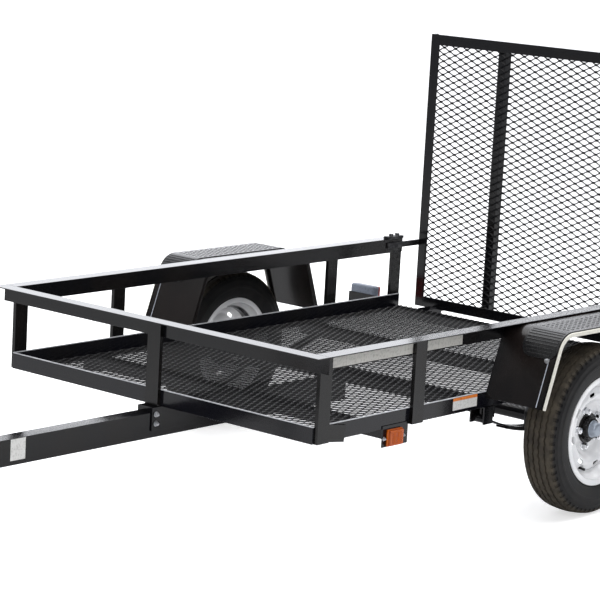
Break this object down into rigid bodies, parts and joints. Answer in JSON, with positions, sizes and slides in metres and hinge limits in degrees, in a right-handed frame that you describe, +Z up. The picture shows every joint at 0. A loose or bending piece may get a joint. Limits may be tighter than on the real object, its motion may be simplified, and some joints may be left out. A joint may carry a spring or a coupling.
{
  "type": "utility trailer",
  "caption": "Open single-axle utility trailer with a mesh floor, angle-steel rails, folded fenders, a hinged mesh ramp gate, a straight tongue and a swivel jack.",
  "frame": {"origin": "on the floor, in the middle of the trailer's length and width", "axes": "+Z up, -Y towards the coupler, +X towards the trailer's left side"},
  "size_m": [1.6618, 3.0432, 1.3432],
  "materials": {
    "black_paint": "gloss",
    "mesh_paint": "gloss",
    "pad": "matte",
    "zinc": "satin",
    "hub_paint": "satin",
    "rim_white": "gloss",
    "tyre": "matte",
    "amber_lens": "gloss",
    "red_lens": "gloss"
  },
  "bodies": {
    "frame": {"front_sill": "black_paint", "left_sill": "black_paint", "right_sill": "black_paint", "rear_sill": "black_paint", "crossmembers": "black_paint", "floor_mesh": "mesh_paint", "front_top_rail": "black_paint", "left_top_rail": "black_paint", "right_top_rail": "black_paint", "front_post": "black_paint", "left_posts": "black_paint", "right_posts": "black_paint", "tongue": "black_paint", "tongue_bracket": "black_paint", "coupler": "black_paint", "coupler_latch": "zinc", "left_fender": "black_paint", "right_fender": "black_paint", "step_pads": "pad", "axle": "black_paint", "left_spring": "black_paint", "right_spring": "black_paint", "spring_hangers": "black_paint", "axle_clamps": "zinc", "marker_lamps": "amber_lens", "tail_lamps": "red_lens", "lamp_brackets": "black_paint", "gate_hinge_ears": "black_paint", "gate_latches": "zinc", "jack_mount": "zinc"},
    "left_wheel": {"left_hub": "hub_paint", "left_rim": "rim_white", "left_tyre": "tyre"},
    "right_wheel": {"right_hub": "hub_paint", "right_rim": "rim_white", "right_tyre": "tyre"},
    "gate": {"gate_stiles": "black_paint", "gate_posts": "black_paint", "gate_top_bar": "black_paint", "gate_bottom_bar": "black_paint", "gate_mesh": "mesh_paint", "gate_hinge_straps": "black_paint"},
    "jack": {"jack_tube": "zinc", "jack_crank": "black_paint"},
    "jack_foot": {"jack_leg": "zinc"}
  },
  "joints": [
    {"name": "left_wheel_spin", "type": "hinge", "parent": "frame", "child": "left_wheel", "pos_m": [0.766, 0.62345, 0.265], "axis": [1, 0, 0], "continuous": true},
    {"name": "right_wheel_spin", "type": "hinge", "parent": "frame", "child": "right_wheel", "pos_m": [-0.766, 0.62345, 0.265], "axis": [1, 0, 0], "continuous": true},
    {"name": "gate_hinge", "type": "hinge", "parent": "frame", "child": "gate", "pos_m": [0, 1.46945, 0.3392], "axis": [-1, 0, 0], "range_deg": [0, 106.5]},
    {"name": "jack_swing", "type": "hinge", "parent": "frame", "child": "jack", "pos_m": [-0.0854, -1.20155, 0.2901], "axis": [1, 0, 0], "range_deg": [0, 90]},
    {"name": "jack_lift", "type": "slide", "parent": "jack", "child": "jack_foot", "axis": [0, 0, 1], "range_m": [0, 0.135]}
  ]
}
